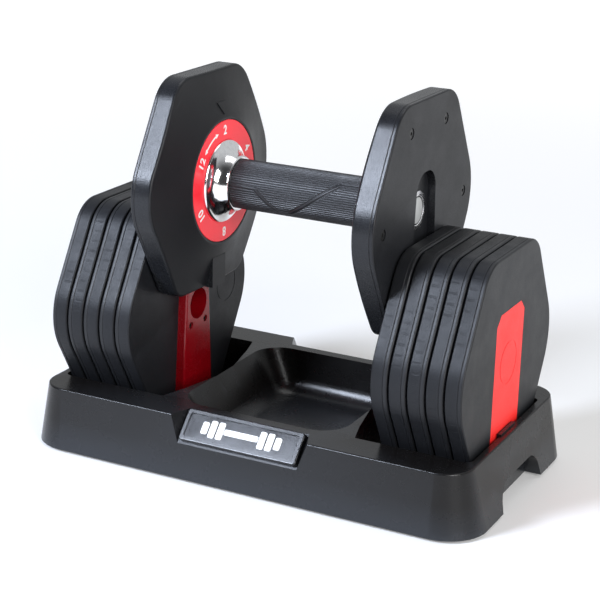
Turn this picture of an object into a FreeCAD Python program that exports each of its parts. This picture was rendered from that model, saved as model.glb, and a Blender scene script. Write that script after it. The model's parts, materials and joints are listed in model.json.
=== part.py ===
import FreeCAD, Part
import math
import os

from FreeCAD import Vector

# Adjustable dumbbell with its tray, in millimetres.
# X runs along the handle, Y is the depth and +Z is up.
# The origin is the centre of the tray's footprint, on the surface that the feet stand on.
# The handle is drawn lifted straight up off the tray, and all the weight plates are in the tray.

# ---- driving dimensions ----------------------------------------------------------------------

# weight plates and end discs share one outline: a hexagon with rounded corners
plate_height = 156.0  # across the top and bottom flats
top_corner_radius = 26.0
side_corner_radius = 44.0
bottom_corner_radius = 15.0

plates_per_side = 5
plate_thickness = 11.8
plate_gap = 1.2
plate_wall = 2.4
plate_face_wall = 2.0
plate_cover_thickness = 3.0
edge_rounding = 1.2
seam_chamfer = 0.35  # on both sides of the joint between a shell and its cover
seam_overlap = 0.5  # a channel's walls run this far into the cover that carries them
smallest_corner = 2.0  # of an outline drawn inside the plate's own
core_clearance = 0.3
face_mark_radius = 14.0  # shallow circle on the inner face of each plate
face_mark_offset = 53.0
mark_groove_width = 0.8
mark_groove_depth = 0.25

# handle
grip_length = 102.0
grip_wall = 2.1
collar_length = 13.2  # from an end of the grip to the face of its dial
disc_dome_height = 11.3  # from the rim of a disc out to its dial
disc_rim_thickness = 14.7
disc_wall = 3.0
dome_share = 0.65  # of the dome's height, reached half-way from the dial to the rim
dome_overrun = 2.254  # the dome's arc would reach the rim this far outside the outline's corners
dial_seat_width = 1.9
disc_cover_thickness = 3.0
disc_to_plate_gap = 1.7
disc_core_thickness = 4.0
disc_core_gap = 0.2
disc_core_bore_margin = 2.0
dial_outer_diameter = 87.4
dial_inner_diameter = 59.2
dial_thickness = 2.1
dial_clearance = 0.4
dial_edge_rounding = 0.4
disc_rim_rounding = 2.0
bush_wall = 2.4
bush_length = 4.2
bush_seat = 3.0  # wall of the hub around a bush
collar_root_step = 2.1  # the flare starts this far outside the grip
collar_edge_inset = 1.2  # and ends this far inside the dial
collar_root_rounding = 1.3
collar_root_middle = (0.5, 0.4)  # along and inwards, from the corner that the arc rounds
collar_neck_length = 1.5
collar_bow = (1.0, 1.6)  # along and inwards, from the middle of the flare
collar_edge_start = 1.9  # in front of the dial's face
collar_edge_middle = (0.7, 0.3)
collar_edge_length = 1.5

# telescoping lock
bolt_diameter = 22.6
bolt_centre_gap = 8.2  # between the inner ends of the two bolts
running_clearance = 0.05  # radial, between parts that slide or turn on each other
spine_wall = 2.05
cam_wall = 2.05
pin_diameter = 4.0
pin_end_margin = 3.3  # from a bolt's inner end to its pin
pin_depth = 6.0  # how deep a pin sits in its bolt
pin_tip_gap = 0.2  # between a pin and the grip around the cam tube
pin_slot_clearance = 0.3
slot_sections = 32  # flat stretches that make up a helical slot
bolt_chamfer = 1.0
nut_length = 4.6
nut_width = 5.0  # from the spine's outside to a corner of the nut
nut_corner_radius = 1.0
full_turn_degrees = 300.0  # the grip's turn from the lightest to the heaviest setting
settings_per_turn = 6

# tongue on the inner face of each plate, and the channel that it slides up into
tongue_height = 7.0  # how far it stands out of the plate
tongue_half_width = 16.5  # at the height of the handle's axis
tongue_flare = 0.065  # how much each side widens per millimetre downwards
tongue_top = 27.6  # above the axis
tongue_edge_rounding = 1.5
tongue_crown = 1.0  # flat left between the two round shoulders at the top
channel_clearance = 0.4
channel_spare_depth = 0.6
channel_wall = 1.6
guide_bore_clearance = 0.4
guide_bore_wall = 2.0

# outermost plate's coloured panel
panel_half_width = 25.6
panel_top = 38.3
panel_corner = 7.0
panel_thickness = 1.6
panel_notch_half_width = 14.5
panel_notch_height = 31.0  # up from the bottom flat
panel_notch_depth = 0.8
panel_clearance = 0.15
panel_ring_radius = 15.5

# lock pawl in the left disc
index_ring_radius = 27.0
index_notch_depth = 4.0
index_notch_width = 6.4
index_thickness = 3.5
pawl_travel = 4.0
pawl_clearance = 0.5
pawl_stem_width = 8.0
pawl_bar = 5.5
pawl_ring_gap = 2.5  # between the index ring and the frame around it
pawl_housing_width = 18.0
pawl_housing_top = 56.0  # below the handle's axis, where the dome's wall is clear of the pawl
pawl_housing_depth = 7.5  # in front of the disc's rim
pawl_slot_clearance = 0.3
spring_room = 12.0
spring_seat_width = 12.0
spring_seat_thickness = 2.5
spring_radius = 2.6
spring_wire = 0.8
spring_turns = 6
spring_end_gap = 0.1

# screws
cover_screw_head = 7.0
cover_screw_shank = 3.8
cover_screw_boss = 9.0
cover_screw_sink = 1.9
cover_screw_recess = 0.5
cover_screw_clearance = 0.3
cover_screw_spread = 29.0
cover_screw_inset = 19.4  # in from the top and bottom flats
cover_screw_side_inset = 22.4  # in from the corners at the sides
cover_screw_socket = 1.3
guide_screw_head = 4.8
guide_screw_head_height = 1.4
guide_screw_sink = 2.6
guide_screw_socket = 1.1
guide_screw_clearance = 0.2
guide_screw_shank = 2.8
guide_screw_spread = 10.2
guide_screw_drop = 14.5

# tray
tray_height = 46.0  # top surface above the floor
tray_end_land = 5.1  # from a pocket to the end of the top surface
tray_top_width = 184.0
tray_end_flare = 9.5  # how far the end walls lean out
tray_side_flare = 5.0
tray_top_corner = 20.0
tray_bottom_corner = 30.0
tray_wall = 2.6
tray_edge_rounding = 1.2
foot_height = 1.5
foot_diameter = 15.0
foot_inset_x = 16.0  # in from the ends of the top surface
foot_inset_y = 12.5
foot_chamfer = 0.4
foot_clearance = 0.5
plate_seat_height = 16.4  # underside of the plates above the floor
seat_clearance = 0.3
pocket_end_clearance = 2.2
pocket_side_clearance = 4.0
pocket_corner = 5.0
pocket_bend = 20.0  # radius of the bends around the disc's dome
dome_clearance = 1.9
rim_clearance = 0.6
basin_top_length = 125.0
basin_top_width = 136.0
basin_top_corner = 22.0
basin_floor_length = 90.0
basin_floor_width = 122.0
basin_floor_corner = 18.0
basin_floor_height = 14.0
basin_fillet = 14.0
arch_half_width = 38.0
arch_height = 20.5
arch_corner = 15.0
arch_draft = 5.0  # each side leans in by this much over its height
arch_wall = 2.6
rib_half_width = 13.5
rib_above_tray = 1.2
rib_clearance = 0.5

# sloped recess for the name plate, in the middle of the front and back edges
recess_half_width = 46.0
recess_depth = 15.6  # back from the top edge
recess_drop = 17.0  # down the wall
facet_width = 7.0
badge_thickness = 3.6
badge_margin = 0.8  # between the bezel and the ends of the recess
badge_upper_margin = 0.6
badge_overhang = 1.4  # the bezel reaches this far past the foot of the slope
badge_rim = 3.2
badge_corner = 2.4
badge_edge_rounding = 1.0
badge_window_corner = 1.0
badge_floor = 1.6
badge_plate_thickness = 1.2
badge_plate_clearance = 0.2
emblem_height = 0.5
emblem_bar_half_length = 13.0
emblem_bar_half_width = 2.1
emblem_disc_half_width = 2.3
emblem_disc_pitch = 6.0
emblem_tall_share = 0.36  # of the plate's height, from the bar to the top of a tall disc
emblem_short_share = 0.7  # of a tall disc

# gaps along the axis, from a dial inwards
dial_back_gap = 0.2
index_gap = 0.8
cam_overhang = 2.4

lift = 94.8  # height of the lifted handle above its place in the tray

# ---- places worked out from the dimensions ---------------------------------------------------

half_height = plate_height / 2
plate_axis_z = plate_seat_height + half_height
handle_z = plate_axis_z + lift
smallest_radius = min(top_corner_radius, side_corner_radius, bottom_corner_radius)
corner_stretch = 1 / math.cos(math.radians(30))
outline_reach = half_height * corner_stretch - smallest_radius * (corner_stretch - 1)
pitch = plate_thickness + plate_gap
bolt_radius = bolt_diameter / 2

dial_x = grip_length / 2 + collar_length
rim_x = dial_x + disc_dome_height
disc_x = rim_x + disc_rim_thickness  # outer face of a disc
stack_x = disc_x + disc_to_plate_gap  # inner face of the first plate
stack_end_x = stack_x + plates_per_side * pitch - plate_gap
tongue_face_x = stack_x - tongue_height
channel_floor_x = tongue_face_x - channel_clearance
cover_floor_x = channel_floor_x - channel_wall
cover_inner_x = disc_x - disc_cover_thickness

cover_screw_tip_x = rim_x + disc_wall

bolt_end_x = channel_floor_x - channel_clearance
bolt_start_x = bolt_centre_gap / 2
bolt_travel = plates_per_side * pitch
pin_x = bolt_start_x + pin_end_margin
pin_radius = pin_diameter / 2

spine_inner = bolt_radius + running_clearance
spine_outer = spine_inner + spine_wall
cam_inner = spine_outer + running_clearance
cam_outer = cam_inner + cam_wall
grip_radius = cam_outer + grip_wall
bush_inner = cam_outer + running_clearance
bush_outer = bush_inner + bush_wall
hub_outer = bush_outer + bush_seat

dial_outer = dial_outer_diameter / 2
dial_inner = dial_inner_diameter / 2
dial_back_x = dial_x + dial_thickness
recess_x = dial_back_x + dial_back_gap
bush_end_x = recess_x + bush_length
index_x = bush_end_x + index_gap
cam_end_x = index_x + index_thickness + cam_overhang
nut_x = cover_floor_x - nut_length
guide_bore = bolt_radius + guide_bore_clearance
channel_depth = tongue_height - plate_gap + channel_spare_depth

tray_base = foot_height
seat_z = plate_seat_height - seat_clearance
pawl_top = index_ring_radius + pawl_clearance + pawl_travel + pawl_bar  # above the handle's axis
pocket_half_width = (
    half_height * math.tan(math.radians(30))
    + (tray_height - plate_seat_height) * math.tan(math.radians(30))
    + pocket_side_clearance
)
pocket_end_x = stack_end_x + pocket_end_clearance
tray_top_length = 2 * (pocket_end_x + tray_end_land)
tray_bottom_length = tray_top_length + 2 * tray_end_flare
tray_bottom_width = tray_top_width + 2 * tray_side_flare

cover_screw_level = half_height - cover_screw_inset
cover_screw_reach = half_height * corner_stretch - cover_screw_side_inset
cover_screw_places = [
    (side * cover_screw_spread, level * cover_screw_level) for side in (-1, 1) for level in (-1, 1)
] + [(-cover_screw_reach, 0.0), (cover_screw_reach, 0.0)]


# ---- shape helpers ---------------------------------------------------------------------------


def in_yz(x, axis_z=0.0):
    """Map plan points (y, z) to a plane across the handle; z is measured from axis_z."""
    return lambda a, b: Vector(x, a, axis_z + b)


def in_xy(z):
    return lambda a, b: Vector(a, b, z)


def rounded_wire(points, radii, place):
    """Closed outline through 2-D points, with an arc of the given radius at each corner."""
    count = len(points)
    ends = []
    for i, (px, py) in enumerate(points):
        before = points[i - 1]
        after = points[(i + 1) % count]
        to_before = Vector(before[0] - px, before[1] - py, 0).normalize()
        to_after = Vector(after[0] - px, after[1] - py, 0).normalize()
        inside = to_before.getAngle(to_after)
        radius = radii[i]
        setback = radius / math.tan(inside / 2)
        corner = Vector(px, py, 0)
        start = corner + to_before * setback
        end = corner + to_after * setback
        inward = (to_before + to_after).normalize()
        middle = corner + inward * (radius / math.sin(inside / 2) - radius)
        ends.append((start, middle, end, radius))
    edges = []
    for i, (start, middle, end, radius) in enumerate(ends):
        if radius > 0:
            arc = Part.Arc(place(start.x, start.y), place(middle.x, middle.y), place(end.x, end.y))
            edges.append(arc.toShape())
        following = ends[(i + 1) % count][0]
        if (following - end).Length > 1e-6:
            edges.append(Part.makeLine(place(end.x, end.y), place(following.x, following.y)))
    return Part.Wire(edges)


def prism(points, radii, place, direction):
    return Part.Face(rounded_wire(points, radii, place)).extrude(direction)


def box(x0, x1, y0, y1, z0, z1):
    return Part.makeBox(x1 - x0, y1 - y0, z1 - z0, Vector(x0, y0, z0))


def rod(radius, x0, x1, y=0.0, z=0.0):
    """Round bar along X."""
    return Part.makeCylinder(radius, x1 - x0, Vector(x0, y, z), Vector(1, 0, 0))


def tube(outer, inner, x0, x1, z=0.0):
    return rod(outer, x0, x1, 0.0, z).cut(rod(inner, x0 - 1, x1 + 1, 0.0, z))


def turned(profile_edges, z):
    """Solid of revolution about the handle's axis at height z."""
    face = Part.Face(Part.Wire(profile_edges))
    return face.revolve(Vector(0, 0, z), Vector(1, 0, 0), 360)


def to_left(shape):
    return shape.mirror(Vector(0, 0, 0), Vector(1, 0, 0))


def soften(shape, radius, chosen):
    """Round the edges for which chosen(edge) is true."""
    return shape.makeFillet(radius, [edge for edge in shape.Edges if chosen(edge)])


def lies_at_x(x):
    return lambda edge: all(abs(v.X - x) < 1e-4 for v in edge.Vertexes) and edge.BoundBox.XLength < 1e-3


def chamfer_at_x(block, seam):
    return block.makeChamfer(seam_chamfer, [edge for edge in block.Edges if lies_at_x(seam)(edge)])


def moulded_half(seam, face, axis_z):
    """Block with the plate outline, rounded at its outer face and chamfered at its joint."""
    block = hexagon_prism(min(seam, face), max(seam, face), axis_z)
    return chamfer_at_x(soften(block, edge_rounding, lies_at_x(face)), seam)


def facet(*points):
    return Part.Face(Part.makePolygon(list(points) + [points[0]]))


def closed_solid(faces):
    solid = Part.Solid(Part.Shell(faces))
    return solid if solid.Volume > 0 else solid.reversed()


def export(name, *shapes):
    solids = [solid for shape in shapes for solid in shape.Solids]
    shape = solids[0] if len(solids) == 1 else Part.makeCompound(solids)
    shape.exportStep("parts/%s.step" % name)


# ---- shared outlines -------------------------------------------------------------------------


def hexagon(inset=0.0):
    """Corner points and radii of the plate outline, drawn inside by inset."""
    flat = half_height - inset
    side = flat * math.tan(math.radians(30))
    points = [(side, flat), (2 * side, 0), (side, -flat), (-side, -flat), (-2 * side, 0), (-side, flat)]
    radii = [
        max(radius - inset, smallest_corner)
        for radius in (
            top_corner_radius,
            side_corner_radius,
            bottom_corner_radius,
            bottom_corner_radius,
            side_corner_radius,
            top_corner_radius,
        )
    ]
    return points, radii


def hexagon_prism(x0, x1, axis_z, inset=0.0):
    points, radii = hexagon(inset)
    return prism(points, radii, in_yz(x0, axis_z), Vector(x1 - x0, 0, 0))


def tongue_prism(x0, x1, axis_z, grow=0.0, bottom=None):
    """Tapered tongue with a round top. grow widens it on all sides, which gives its channel."""
    bottom = -half_height if bottom is None else bottom
    low = tongue_half_width - tongue_flare * bottom + grow
    high = tongue_half_width - tongue_flare * tongue_top + grow
    top = tongue_top + grow
    points = [(low, bottom), (high, top), (-high, top), (-low, bottom)]
    shoulder = high - tongue_crown
    radii = [0.0, shoulder, shoulder, 0.0]
    return prism(points, radii, in_yz(x0, axis_z), Vector(x1 - x0, 0, 0))


def channel_prism(x0, x1, axis_z, grow=0.0):
    """Channel open at the bottom of the plate."""
    return tongue_prism(x0, x1, axis_z, channel_clearance + grow, -half_height - 5.0)


# ---- weight plates, drawn for the right-hand stack -------------------------------------------


def guide_screw_holes(x0, x1, radius, axis_z):
    holes = [
        rod(radius, x0, x1, side * guide_screw_spread, axis_z - guide_screw_drop) for side in (-1, 1)
    ]
    return Part.makeCompound(holes)


def plate_parts(index):
    """One plate: moulded shell, steel core, outer cover, tongue-and-bore guide and its screws."""
    x0 = stack_x + index * pitch
    x1 = x0 + plate_thickness
    seam = x1 - plate_cover_thickness
    z = plate_axis_z
    channel_floor = x1 - channel_depth
    trough = channel_floor - channel_wall
    last = index == plates_per_side - 1

    cover = moulded_half(seam, x1, z)
    walls = channel_prism(trough, seam + seam_overlap, z, channel_wall)
    cover = cover.fuse(walls.common(hexagon_prism(trough, seam + seam_overlap, z)))
    cover = cover.cut(channel_prism(channel_floor, x1 + 1, z))
    cover = cover.cut(rod(guide_bore + guide_bore_wall, trough - 1, x1, 0.0, z))

    shell = moulded_half(seam, x0, z)
    shell = shell.cut(hexagon_prism(x0 + plate_face_wall, seam + 1, z, plate_wall))
    shell = shell.cut(channel_prism(trough, seam + 1, z, channel_wall))
    shell = shell.cut(rod(guide_bore + guide_bore_wall, x0 - 1, x1, 0.0, z))
    shell = shell.cut(guide_screw_holes(x0 - 1, x1, guide_screw_shank / 2, z))
    mark = tube(face_mark_radius, face_mark_radius - mark_groove_width, x0 - 1, x0 + mark_groove_depth, z)
    mark.translate(Vector(0, face_mark_offset, 0))
    shell = shell.cut(mark)

    core = hexagon_prism(x0 + plate_face_wall, seam, z, plate_wall + core_clearance)
    core = core.cut(channel_prism(x0, seam + 1, z, channel_wall + core_clearance))
    core = core.cut(rod(guide_bore + guide_bore_wall + core_clearance, x0 - 1, x1, 0.0, z))

    bottom = -half_height + edge_rounding
    face_x = x0 - tongue_height
    guide = tongue_prism(face_x, x0, z, 0.0, bottom)
    guide = soften(guide, tongue_edge_rounding, lies_at_x(face_x))
    guide = guide.fuse(rod(guide_bore + guide_bore_wall, x0 - 1, channel_floor, 0.0, z))
    guide = guide.cut(rod(guide_bore, face_x - 1, x1, 0.0, z))
    guide = guide.cut(guide_screw_holes(x0 - tongue_height - 1, x1, guide_screw_shank / 2, z))
    head_x = face_x + guide_screw_sink
    head_room = guide_screw_head / 2 + guide_screw_clearance
    guide = guide.cut(guide_screw_holes(face_x - 1, head_x, head_room, z))

    screws = []
    for side in (-1, 1):
        y = side * guide_screw_spread
        level = z - guide_screw_drop
        head_top = head_x - guide_screw_head_height
        head = rod(guide_screw_head / 2, head_top, head_x, y, level)
        shank = rod(guide_screw_shank / 2, head_x, x0 + plate_face_wall, y, level)
        socket = rod(guide_screw_socket, head_top - 1, head_x - guide_screw_head_height / 2, y, level)
        screws.append(head.fuse(shank).cut(socket))

    if last:
        cover = cover.cut(panel_prism(x1 - panel_thickness, x1 + 1, panel_clearance))
    return shell.removeSplitter(), core, cover.removeSplitter(), guide.removeSplitter(), screws


def panel_prism(x0, x1, grow=0.0):
    """Outline of the coloured panel on the outermost plate."""
    half = panel_half_width + grow
    top = panel_top + grow
    cut = panel_corner
    bottom = -half_height - 1 if grow else -half_height + edge_rounding
    points = [
        (half, bottom),
        (half, top - cut),
        (half - cut, top),
        (-half + cut, top),
        (-half, top - cut),
        (-half, bottom),
    ]
    return prism(points, [0.0] * 6, in_yz(x0, plate_axis_z), Vector(x1 - x0, 0, 0))


def outer_panel():
    x1 = stack_end_x
    panel = panel_prism(x1 - panel_thickness, x1)
    half = panel_notch_half_width
    level = plate_seat_height + panel_notch_height
    panel = panel.cut(box(x1 - panel_notch_depth, x1 + 1, -half, half, 0, level))
    ring_inner = panel_ring_radius - mark_groove_width
    return panel.cut(tube(panel_ring_radius, ring_inner, x1 - mark_groove_depth, x1 + 1, plate_axis_z))


def make_plates():
    for index in range(plates_per_side):
        shell, core, cover, guide, screws = plate_parts(index)
        number = index + 1
        export("plate_shell_right_%d" % number, shell)
        export("plate_shell_left_%d" % number, to_left(shell))
        export("plate_cores_%d" % number, core, to_left(core))
        export("plate_covers_%d" % number, cover, to_left(cover))
        export("plate_guides_%d" % number, guide, to_left(guide))
        export("guide_screws_%d" % number, *screws, *[to_left(screw) for screw in screws])
    panel = outer_panel()
    export("outer_panels", panel, to_left(panel))


# ---- end discs of the handle -----------------------------------------------------------------


def behind_dome(shift):
    """Everything behind the domed inner face of a disc, moved back by shift."""
    edge = outline_reach + dome_overrun
    start = dial_outer + dial_seat_width
    front = Vector(dial_x + shift, 0, handle_z + start)
    middle = Vector(dial_x + dome_share * disc_dome_height + shift, 0, handle_z + (start + edge) / 2)
    back = Vector(rim_x + shift, 0, handle_z + edge)
    far = Vector(disc_x + 5, 0, handle_z + edge)
    axis_far = Vector(disc_x + 5, 0, handle_z)
    axis_near = Vector(dial_x + shift, 0, handle_z)
    edges = [
        Part.makeLine(axis_near, front),
        Part.Arc(front, middle, back).toShape(),
        Part.makeLine(back, far),
        Part.makeLine(far, axis_far),
        Part.makeLine(axis_far, axis_near),
    ]
    return turned(edges, handle_z)


def lies_on_rim(edge):
    box_of_edge = edge.BoundBox
    return box_of_edge.XMin > dial_x + disc_dome_height / 2 and box_of_edge.XMax < rim_x + 0.5


def screw_posts(x0, x1, radius):
    posts = [rod(radius, x0, x1, y, handle_z + level) for y, level in cover_screw_places]
    return Part.makeCompound(posts)


def end_shell(with_lock):
    z = handle_z
    body = hexagon_prism(dial_x - 1, cover_inner_x, z).common(behind_dome(0.0))
    body = soften(body, disc_rim_rounding, lies_on_rim)
    body = chamfer_at_x(body, cover_inner_x)
    inside = hexagon_prism(dial_x, cover_inner_x + 1, z, disc_wall).common(behind_dome(disc_wall))
    inside = inside.cut(screw_posts(dial_x, cover_inner_x + 1, cover_screw_boss / 2))
    inside = inside.cut(rod(hub_outer, dial_x, bush_end_x, 0.0, z))
    if with_lock:
        half = pawl_housing_width / 2
        front = rim_x - pawl_housing_depth
        low = z - half_height
        high = z - pawl_housing_top
        housing = box(front, rim_x + 1, -half, half, low, high)
        body = body.fuse(housing.common(hexagon_prism(front, rim_x + 1, z, 0.0)))
        inside = inside.cut(box(front, index_x + index_thickness + disc_wall, -half, half, low, high))
        seat = spring_seat_width / 2
        seat_z0 = z + pawl_top + spring_room
        seat_z1 = seat_z0 + spring_seat_thickness
        inside = inside.cut(box(dial_x, index_x + index_thickness, -seat, seat, seat_z0, seat_z1))
    body = body.cut(inside)
    body = body.cut(rod(dial_outer + dial_clearance, dial_x - 2, recess_x, 0.0, z))
    body = body.cut(rod(bush_outer, dial_x - 2, disc_x, 0.0, z))
    body = body.cut(channel_prism(cover_floor_x, cover_inner_x + 1, z, channel_wall))
    body = body.cut(screw_posts(cover_screw_tip_x, disc_x, cover_screw_shank / 2))
    if with_lock:
        half = pawl_stem_width / 2 + channel_clearance
        near = index_x - pawl_slot_clearance
        far = index_x + index_thickness + pawl_slot_clearance
        body = body.cut(box(near, far, -half, half, low - 1, high + 1))
    return body.removeSplitter()


def end_core():
    x1 = cover_floor_x - disc_core_gap
    x0 = x1 - disc_core_thickness
    core = hexagon_prism(x0, x1, handle_z, disc_wall + core_clearance)
    core = core.cut(rod(hub_outer + disc_core_bore_margin, x0 - 1, x1 + 1, 0.0, handle_z))
    return core.cut(screw_posts(x0 - 1, x1 + 1, cover_screw_boss / 2 + core_clearance))


def end_cover():
    z = handle_z
    cover = moulded_half(cover_inner_x, disc_x, z)
    joint = cover_inner_x + seam_overlap
    walls = channel_prism(cover_floor_x, joint, z, channel_wall)
    cover = cover.fuse(walls.common(hexagon_prism(cover_floor_x, joint, z)))
    cover = cover.cut(channel_prism(channel_floor_x, disc_x + 1, z))
    cover = cover.cut(rod(spine_outer, cover_floor_x - 1, disc_x, 0.0, z))
    cover = cover.cut(screw_posts(cover_inner_x - 1, disc_x + 1, cover_screw_shank / 2))
    head_room = cover_screw_head / 2 + cover_screw_clearance
    cover = cover.cut(screw_posts(disc_x - cover_screw_sink, disc_x + 1, head_room))
    return cover.removeSplitter()


def six_corners(reach):
    """Corners of a regular hexagon, for nuts and screw sockets."""
    turns = [math.radians(60 * i) for i in range(6)]
    return [(reach * math.cos(turn), reach * math.sin(turn)) for turn in turns]


def cover_screws():
    screws = []
    under_head = disc_x - cover_screw_sink
    top = disc_x - cover_screw_recess
    for y, level in cover_screw_places:
        z = handle_z + level
        head = rod(cover_screw_head / 2, under_head, top, y, z)
        shank = rod(cover_screw_shank / 2, cover_screw_tip_x + 1, under_head, y, z)
        floor = in_yz((under_head + top) / 2, z)
        socket = prism(six_corners(cover_screw_socket), [0.0] * 6, floor, Vector(cover_screw_sink, 0, 0))
        socket.translate(Vector(0, y, 0))
        screws.append(head.fuse(shank).cut(socket))
    return screws


def spine_nut():
    corners = six_corners(spine_outer + nut_width)
    length = Vector(nut_length, 0, 0)
    nut = prism(corners, [nut_corner_radius] * 6, in_yz(nut_x, handle_z), length)
    return nut.cut(rod(spine_outer, nut_x - 1, disc_x, 0.0, handle_z))


def pin_slot(x0, x1, width):
    """Straight slot cut upwards from the axis, with round ends."""
    z0 = handle_z
    half = width / 2
    ends = [Part.makeCylinder(half, spine_outer + 2, Vector(x, 0, z0)) for x in (x0, x1)]
    return box(x0, x1, -half, half, z0, z0 + spine_outer + 2).fuse(ends)


def spine_tube():
    spine = tube(spine_outer, spine_inner, -channel_floor_x, channel_floor_x, handle_z)
    width = pin_diameter + 2 * pin_slot_clearance
    slot = pin_slot(pin_x - pin_slot_clearance, pin_x + bolt_travel + pin_slot_clearance, width)
    return spine.cut(slot).cut(to_left(slot))


def make_frame():
    right = end_shell(False)
    left = to_left(end_shell(True))
    export("end_shell_right", right)
    export("end_shell_left", left)
    core = end_core()
    export("end_core_right", core)
    export("end_core_left", to_left(core))
    cover = end_cover()
    export("end_cover_right", cover)
    export("end_cover_left", to_left(cover))
    nut = spine_nut()
    export("spine_nuts", nut, to_left(nut))
    screws = cover_screws()
    export("end_cover_screws", *screws, *[to_left(screw) for screw in screws])
    export("spine_tube", spine_tube())
    bush = tube(bush_outer, bush_inner, recess_x, bush_end_x, handle_z)
    export("handle_bushes", bush, to_left(bush))


# ---- turning grip ----------------------------------------------------------------------------


def helical_slot():
    """Slot in the right-hand half of the cam tube. Turning the tube about +X drives the pin out."""
    lead = bolt_travel / math.radians(full_turn_degrees)
    radius = (cam_inner + cam_outer) / 2
    half = pin_radius + pin_slot_clearance
    over = math.degrees((half + channel_clearance) / math.hypot(radius, lead))

    def section(angle):
        turn = math.radians(angle)
        radial = Vector(0, math.sin(turn), math.cos(turn))
        along = Vector(lead, radius * math.cos(turn), -radius * math.sin(turn)).normalize()
        across = radial.cross(along) * half
        middle = Vector(pin_x + lead * turn, 0, handle_z) + radial * radius
        reach = radial * cam_wall
        low, high = middle - reach, middle + reach
        return [low - across, high - across, high + across, low + across]

    step = (full_turn_degrees + 2 * over) / slot_sections
    sections = [section(-over + step * i) for i in range(slot_sections + 1)]
    faces = [facet(*sections[0]), facet(*sections[-1])]
    for low, high in zip(sections, sections[1:]):
        for i in range(4):
            j = (i + 1) % 4
            faces.append(facet(low[i], low[j], high[j]))
            faces.append(facet(low[i], high[j], high[i]))
    return closed_solid(faces)


def cam_tube():
    slot = helical_slot()
    return tube(cam_outer, cam_inner, -cam_end_x, cam_end_x, handle_z).cut(slot).cut(to_left(slot))


def collar():
    """Bell-shaped trim between the grip and a dial."""
    grip_end = grip_length / 2

    def at(x, radius):
        return Vector(x, 0, handle_z + radius)

    root = grip_radius + collar_root_step
    edge = dial_inner - collar_edge_inset
    neck = grip_end + collar_neck_length
    flare_end = dial_x - collar_edge_start
    lip = flare_end + collar_edge_length
    foot = root - collar_root_rounding
    root_bow = at(grip_end + collar_root_middle[0], root - collar_root_middle[1])
    flare_bow = at((neck + flare_end) / 2 + collar_bow[0], (root + edge) / 2 - collar_bow[1])
    edge_bow = at(flare_end + collar_edge_middle[0], dial_inner - collar_edge_middle[1])
    edges = [
        Part.makeLine(at(grip_end, cam_outer), at(grip_end, foot)),
        Part.Arc(at(grip_end, foot), root_bow, at(neck, root)).toShape(),
        Part.Arc(at(neck, root), flare_bow, at(flare_end, edge)).toShape(),
        Part.Arc(at(flare_end, edge), edge_bow, at(lip, dial_inner)).toShape(),
        Part.makeLine(at(lip, dial_inner), at(dial_back_x, dial_inner)),
        Part.makeLine(at(dial_back_x, dial_inner), at(dial_back_x, cam_outer)),
        Part.makeLine(at(dial_back_x, cam_outer), at(grip_end, cam_outer)),
    ]
    return turned(edges, handle_z)


def index_ring():
    ring = tube(index_ring_radius, cam_outer, index_x, index_x + index_thickness, handle_z)
    half = index_notch_width / 2
    end = index_x + index_thickness
    keep = rod(index_ring_radius - index_notch_depth, index_x - 2, end + 2, 0.0, handle_z)
    for setting in range(settings_per_turn):
        notch = box(index_x - 1, end + 1, -half, half, handle_z, handle_z + index_ring_radius + 2)
        notch = notch.cut(keep)
        notch.rotate(Vector(0, 0, handle_z), Vector(1, 0, 0), 360.0 * setting / settings_per_turn)
        ring = ring.cut(notch)
    return ring


def make_grip():
    export("cam_tube", cam_tube())
    export("grip_sleeve", tube(grip_radius, cam_outer, -grip_length / 2, grip_length / 2, handle_z))
    bell = collar()
    export("collar_right", bell)
    export("collar_left", to_left(bell))
    dial = tube(dial_outer, dial_inner, dial_x, dial_back_x, handle_z)
    dial = soften(dial, dial_edge_rounding, lies_at_x(dial_x))
    export("dial_right", dial)
    export("dial_left", to_left(dial))
    export("index_ring", to_left(index_ring()))


# ---- locking bolts ---------------------------------------------------------------------------


def make_bolts():
    bolt = rod(bolt_radius, bolt_start_x, bolt_end_x, 0.0, handle_z)
    bolt = bolt.makeChamfer(bolt_chamfer, [edge for edge in bolt.Edges if lies_at_x(bolt_end_x)(edge)])
    pin_foot = bolt_radius - pin_depth
    pin_top = cam_outer - pin_tip_gap
    pin = Part.makeCylinder(pin_radius, pin_top - pin_foot, Vector(pin_x, 0, handle_z + pin_foot))
    bolt = bolt.cut(pin)
    export("locking_bolt_right", bolt)
    export("locking_bolt_left", to_left(bolt))
    export("follower_pin_right", pin)
    export("follower_pin_left", to_left(pin))


# ---- lock pawl -------------------------------------------------------------------------------


def make_lock():
    x0 = index_x
    x1 = index_x + index_thickness
    inner = index_ring_radius + pawl_ring_gap
    outer = inner + pawl_bar
    window_top = index_ring_radius + pawl_clearance + pawl_travel
    window_low = -inner - pawl_ring_gap
    frame = box(x0, x1, -outer, outer, window_low - pawl_bar, pawl_top)
    frame = frame.cut(box(x0 - 1, x1 + 1, -inner, inner, window_low, window_top))
    half = pawl_stem_width / 2
    stem = box(x0, x1, -half, half, -half_height + pawl_clearance, window_low)
    tooth_half = index_notch_width / 2 - channel_clearance
    tooth = box(x0, x1, -tooth_half, tooth_half, index_ring_radius + pawl_clearance, window_top + 1)
    pawl = frame.fuse([stem, tooth]).removeSplitter()
    pawl.translate(Vector(0, 0, handle_z))
    export("lock_pawl", to_left(pawl))

    base = handle_z + pawl_top + spring_end_gap + spring_wire / 2
    height = spring_room - 2 * spring_end_gap - spring_wire
    helix = Part.makeHelix(height / spring_turns, height, spring_radius)
    section = Part.Wire(Part.makeCircle(spring_wire / 2, Vector(spring_radius, 0, 0), Vector(0, 1, 0)))
    spring = Part.Wire(helix.Edges).makePipeShell([section], True, True)
    spring.translate(Vector((x0 + x1) / 2, 0, base))
    export("pawl_spring", to_left(spring))


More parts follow.
